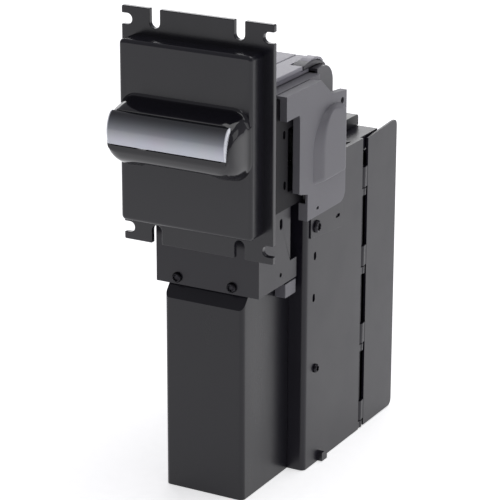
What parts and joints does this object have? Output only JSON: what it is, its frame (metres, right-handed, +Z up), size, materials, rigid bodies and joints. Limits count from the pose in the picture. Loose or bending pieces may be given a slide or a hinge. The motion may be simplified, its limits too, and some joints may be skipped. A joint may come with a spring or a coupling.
{
  "type": "bill validator",
  "caption": "Banknote validator with slotted mounting bezel, lit note slot, hinged upper guide, grey gear cover, front box and steel note stacker with a hinged rear door.",
  "frame": {"origin": "centre of the bounding box, on the plane it stands on", "axes": "+X to the right of a person facing the note slot, +Y rearwards into the machine, +Z up"},
  "size_m": [0.0982, 0.219, 0.2932],
  "materials": {
    "black_abs": "glossy",
    "smoked_acrylic": "polished",
    "chassis_black_plastic": "satin",
    "grey_moulded_plastic": "satin",
    "light_grey_moulded_plastic": "satin",
    "dark_grey_plastic": "satin",
    "black_painted_steel": "satin",
    "zinc_plated_steel": "plated",
    "black_screw_steel": "black oxide",
    "grey_rubber": "matt",
    "belt_polyurethane": "matt",
    "white_acetal": "satin",
    "circuit_board": "satin",
    "connector_nylon": "satin",
    "varnished_transformer": "varnished"
  },
  "bodies": {
    "frame": {"bezel": "black_abs", "mouth_lens": "smoked_acrylic", "mouth_lamp_board": "circuit_board", "head_chassis": "chassis_black_plastic", "upper_hinge_pin_left": "zinc_plated_steel", "upper_hinge_pin_right": "zinc_plated_steel", "right_side_cover": "grey_moulded_plastic", "left_side_cover": "grey_moulded_plastic", "cover_screw_right": "black_screw_steel", "cover_screw_left": "black_screw_steel", "main_board": "circuit_board", "belt_left": "belt_polyurethane", "belt_right": "belt_polyurethane", "drive_motor": "zinc_plated_steel", "lower_sensor_board": "circuit_board", "lower_bracket": "black_painted_steel", "bracket_screw_left": "black_screw_steel", "bracket_screw_right": "black_screw_steel", "side_connector": "connector_nylon", "lower_box": "black_abs", "power_board": "circuit_board", "power_transformer": "varnished_transformer", "stacker_body": "black_painted_steel", "door_hinge_pin": "zinc_plated_steel", "side_plate_right": "black_painted_steel", "side_plate_left": "black_painted_steel", "side_screw_upper_right": "black_screw_steel", "side_screw_lower_right": "black_screw_steel", "side_screw_upper_left": "black_screw_steel", "side_screw_lower_left": "black_screw_steel", "magazine_rail_left": "black_painted_steel", "magazine_rail_right": "black_painted_steel", "stack_motor": "zinc_plated_steel"},
    "upper_unit": {"upper_housing": "grey_moulded_plastic", "upper_sensor_board": "circuit_board", "upper_top_cover": "light_grey_moulded_plastic", "rear_elbow": "dark_grey_plastic"},
    "latch": {"upper_latch": "dark_grey_plastic"},
    "pinch_front": {"pinch_shaft_front": "zinc_plated_steel", "pinch_roller_front_left": "grey_rubber", "pinch_roller_front_right": "grey_rubber"},
    "pinch_rear": {"pinch_shaft_rear": "zinc_plated_steel", "pinch_roller_rear_left": "grey_rubber", "pinch_roller_rear_right": "grey_rubber"},
    "drums": {"drum_shaft": "zinc_plated_steel", "drum_left": "grey_rubber", "drum_right": "grey_rubber", "drum_gear": "white_acetal"},
    "front_rollers": {"front_shaft": "zinc_plated_steel", "pulley_left": "grey_rubber", "pulley_right": "grey_rubber"},
    "pinion": {"motor_pinion": "white_acetal"},
    "pusher": {"pusher_plate": "black_abs"},
    "pusher_drive": {"pusher_shaft": "white_acetal"},
    "door": {"rear_door": "black_painted_steel", "pressure_spring_lower": "zinc_plated_steel", "pressure_spring_upper": "zinc_plated_steel"},
    "pressure": {"pressure_plate": "black_abs"},
    "release": {"door_release": "black_abs"}
  },
  "joints": [
    {"name": "upper_unit_hinge", "type": "hinge", "parent": "frame", "child": "upper_unit", "pos_m": [0, -0.063, 0.2452], "axis": [1, 0, 0], "range_deg": [0, 65]},
    {"name": "upper_latch_hinge", "type": "hinge", "parent": "upper_unit", "child": "latch", "pos_m": [0, 0.0055, 0.2486], "axis": [1, 0, 0], "range_deg": [0, 12], "stiffness_Nm_per_rad": 0.02, "springref_deg": -8.59},
    {"name": "pinch_front_spin", "type": "hinge", "parent": "upper_unit", "child": "pinch_front", "pos_m": [0, -0.058, 0.2239], "axis": [1, 0, 0], "continuous": true},
    {"name": "pinch_rear_spin", "type": "hinge", "parent": "upper_unit", "child": "pinch_rear", "pos_m": [0, 0.005, 0.2239], "axis": [1, 0, 0], "continuous": true},
    {"name": "drum_spin", "type": "hinge", "parent": "frame", "child": "drums", "pos_m": [0, 0.0135, 0.203], "axis": [1, 0, 0], "continuous": true},
    {"name": "front_roller_spin", "type": "hinge", "parent": "frame", "child": "front_rollers", "pos_m": [0, -0.058, 0.2114], "axis": [1, 0, 0], "continuous": true},
    {"name": "pinion_spin", "type": "hinge", "parent": "frame", "child": "pinion", "pos_m": [0, 0.00138, 0.18916], "axis": [1, 0, 0], "continuous": true},
    {"name": "pusher_slide", "type": "slide", "parent": "frame", "child": "pusher", "axis": [0, 1, 0], "range_m": [0, 0.0156]},
    {"name": "pusher_drive_spin", "type": "hinge", "parent": "frame", "child": "pusher_drive", "pos_m": [0, 0.008, 0.09047], "axis": [1, 0, 0], "range_deg": [-142, 0]},
    {"name": "door_hinge", "type": "hinge", "parent": "frame", "child": "door", "pos_m": [0.0353, 0.0656, 0.1], "axis": [0, 0, -1], "range_deg": [0, 100]},
    {"name": "pressure_slide", "type": "slide", "parent": "door", "child": "pressure", "axis": [0, 1, 0], "range_m": [0, 0.036], "stiffness_N_per_m": 120, "springref_m": -0.03, "deforming": ["pressure_spring_lower", "pressure_spring_upper"]},
    {"name": "door_release_slide", "type": "slide", "parent": "frame", "child": "release", "axis": [0, -1, 0], "range_m": [0, 0.003], "stiffness_N_per_m": 300, "springref_m": -0.003}
  ],
  "couplings": [
    {"joint": "front_roller_spin", "follows": "drum_spin", "ratio": 2.2444},
    {"joint": "pinion_spin", "follows": "drum_spin", "ratio": -3.6},
    {"joint": "pusher_drive_spin", "follows": "pusher_slide", "rad_per_m": -156.25}
  ]
}
